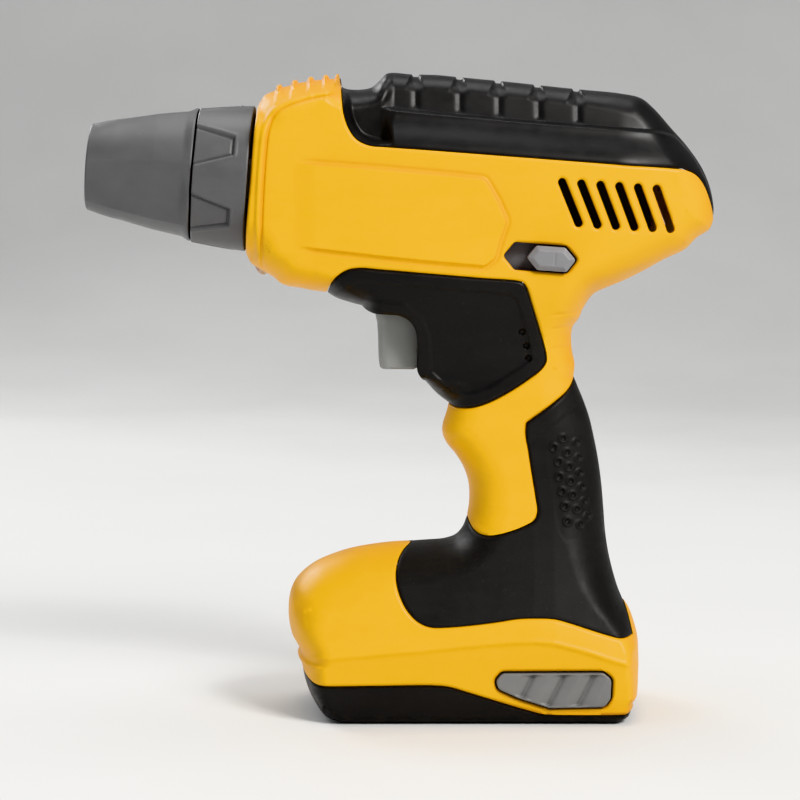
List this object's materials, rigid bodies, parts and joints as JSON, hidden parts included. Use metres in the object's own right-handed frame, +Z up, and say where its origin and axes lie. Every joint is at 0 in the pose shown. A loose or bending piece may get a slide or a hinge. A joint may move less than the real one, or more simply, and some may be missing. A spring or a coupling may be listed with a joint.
{
  "type": "toy power drill",
  "caption": "Pistol-grip toy power drill: moulded clamshell body, faceted chuck with hex socket, spring trigger, slide switch, geared motor, lamp and battery base.",
  "frame": {"origin": "the bottom centre of the whole drill's box: on the parting plane, level with the flat underside of the base, halfway along the length", "axes": "+Z up, -X towards the chuck's nose, -Y towards the tool's left side; the barrel's axis lies in the XZ plane, tilted 4.3 degrees nose up"},
  "size_m": [0.1972, 0.0602, 0.2013],
  "materials": {
    "yellow_shell": "satin moulded plastic with an orange-yellow tint",
    "black_shell": "satin black moulded plastic",
    "chuck_grey": "satin dark grey moulded plastic",
    "trigger_grey": "satin mid grey plastic",
    "slider_grey": "satin light grey plastic",
    "pad_grey": "satin ribbed grey plastic",
    "lens": "clear polished lens",
    "natural_nylon": "waxy off-white nylon",
    "dark_internal": "matt black moulded plastic",
    "plated_steel": "zinc plated steel",
    "brass": "bright brass",
    "contact_metal": "nickel plated spring strip",
    "winding": "lacquered copper winding on laminated steel",
    "board": "green solder mask",
    "cell_sleeve": "printed film sleeve, plain",
    "wire_red": "soft PVC insulation",
    "wire_black": "soft PVC insulation"
  },
  "bodies": {
    "drill_body": {"housing_left": "yellow_shell", "housing_right": "yellow_shell", "top_cover": "black_shell", "trigger_panel_left": "black_shell", "trigger_panel_right": "black_shell", "grip_left": "black_shell", "grip_right": "black_shell", "base_left": "yellow_shell", "base_right": "yellow_shell", "base_tray": "black_shell", "front_bushing": "natural_nylon", "gearbox_front": "natural_nylon", "gearbox_rear": "natural_nylon", "layshaft_pin": "plated_steel", "motor_can": "plated_steel", "motor_endcap": "natural_nylon", "trigger_spring": "plated_steel", "trigger_switch": "dark_internal", "reversing_switch": "dark_internal", "led_lens": "lens", "led_board": "board", "battery_bay": "dark_internal", "aa_cell_1": "cell_sleeve", "aa_cell_2": "cell_sleeve", "aa_cell_3": "cell_sleeve", "contact_front_single": "contact_metal", "contact_front_pair": "contact_metal", "contact_rear_pair": "contact_metal", "contact_rear_single": "contact_metal", "wire_battery_red": "wire_red", "wire_battery_black": "wire_black", "wire_switch": "wire_red", "wire_motor": "wire_black", "housing_screw_1": "plated_steel", "housing_screw_2": "plated_steel", "housing_screw_3": "plated_steel", "housing_screw_4": "plated_steel", "housing_screw_5": "plated_steel", "panel_screw": "plated_steel", "grip_screw_1": "plated_steel", "grip_screw_2": "plated_steel", "base_screw_1": "plated_steel", "base_screw_2": "plated_steel"},
    "chuck": {"chuck_nose": "chuck_grey", "output_shaft": "plated_steel", "shaft_clip": "plated_steel", "output_gear": "natural_nylon"},
    "collar": {"chuck_collar": "chuck_grey"},
    "layshaft": {"layshaft_gear": "natural_nylon"},
    "motor": {"motor_shaft": "winding", "motor_pinion": "brass"},
    "trigger": {"trigger": "trigger_grey"},
    "direction_slider": {"direction_slider": "slider_grey"},
    "pad_left": {"side_pad_left": "pad_grey"},
    "pad_right": {"side_pad_right": "pad_grey"},
    "battery_door": {"battery_door": "black_shell", "door_screw": "plated_steel"}
  },
  "joints": [
    {"name": "chuck_spin", "type": "hinge", "parent": "drill_body", "child": "chuck", "pos_m": [-0.0462, 0, 0.16832], "axis": [-0.9972, 0, 0.075], "continuous": true},
    {"name": "layshaft_spin", "type": "hinge", "parent": "drill_body", "child": "layshaft", "pos_m": [-0.04725, 0, 0.15436], "axis": [-0.9972, 0, 0.075], "continuous": true},
    {"name": "motor_spin", "type": "hinge", "parent": "drill_body", "child": "motor", "pos_m": [-0.0462, 0, 0.16832], "axis": [-0.9972, 0, 0.075], "continuous": true},
    {"name": "collar_turn", "type": "hinge", "parent": "drill_body", "child": "collar", "pos_m": [-0.0462, 0, 0.16832], "axis": [-0.9972, 0, 0.075], "continuous": true},
    {"name": "trigger_pull", "type": "slide", "parent": "drill_body", "child": "trigger", "axis": [0.9972, 0, -0.075], "range_m": [0, 0.0045], "deforming": ["trigger_spring"]},
    {"name": "direction_slide", "type": "slide", "parent": "drill_body", "child": "direction_slider", "axis": [-0.9972, 0, 0.075], "range_m": [0, 0.0066]},
    {"name": "pad_left_press", "type": "slide", "parent": "drill_body", "child": "pad_left", "axis": [0, 1, 0], "range_m": [0, 0.0012]},
    {"name": "pad_right_press", "type": "slide", "parent": "drill_body", "child": "pad_right", "axis": [0, -1, 0], "range_m": [0, 0.0012]},
    {"name": "battery_door_remove", "type": "slide", "parent": "drill_body", "child": "battery_door", "axis": [0, 0, -1], "range_m": [0, 0.03]}
  ],
  "couplings": [
    {"joint": "layshaft_spin", "follows": "chuck_spin", "ratio": -3},
    {"joint": "motor_spin", "follows": "chuck_spin", "ratio": 9}
  ]
}
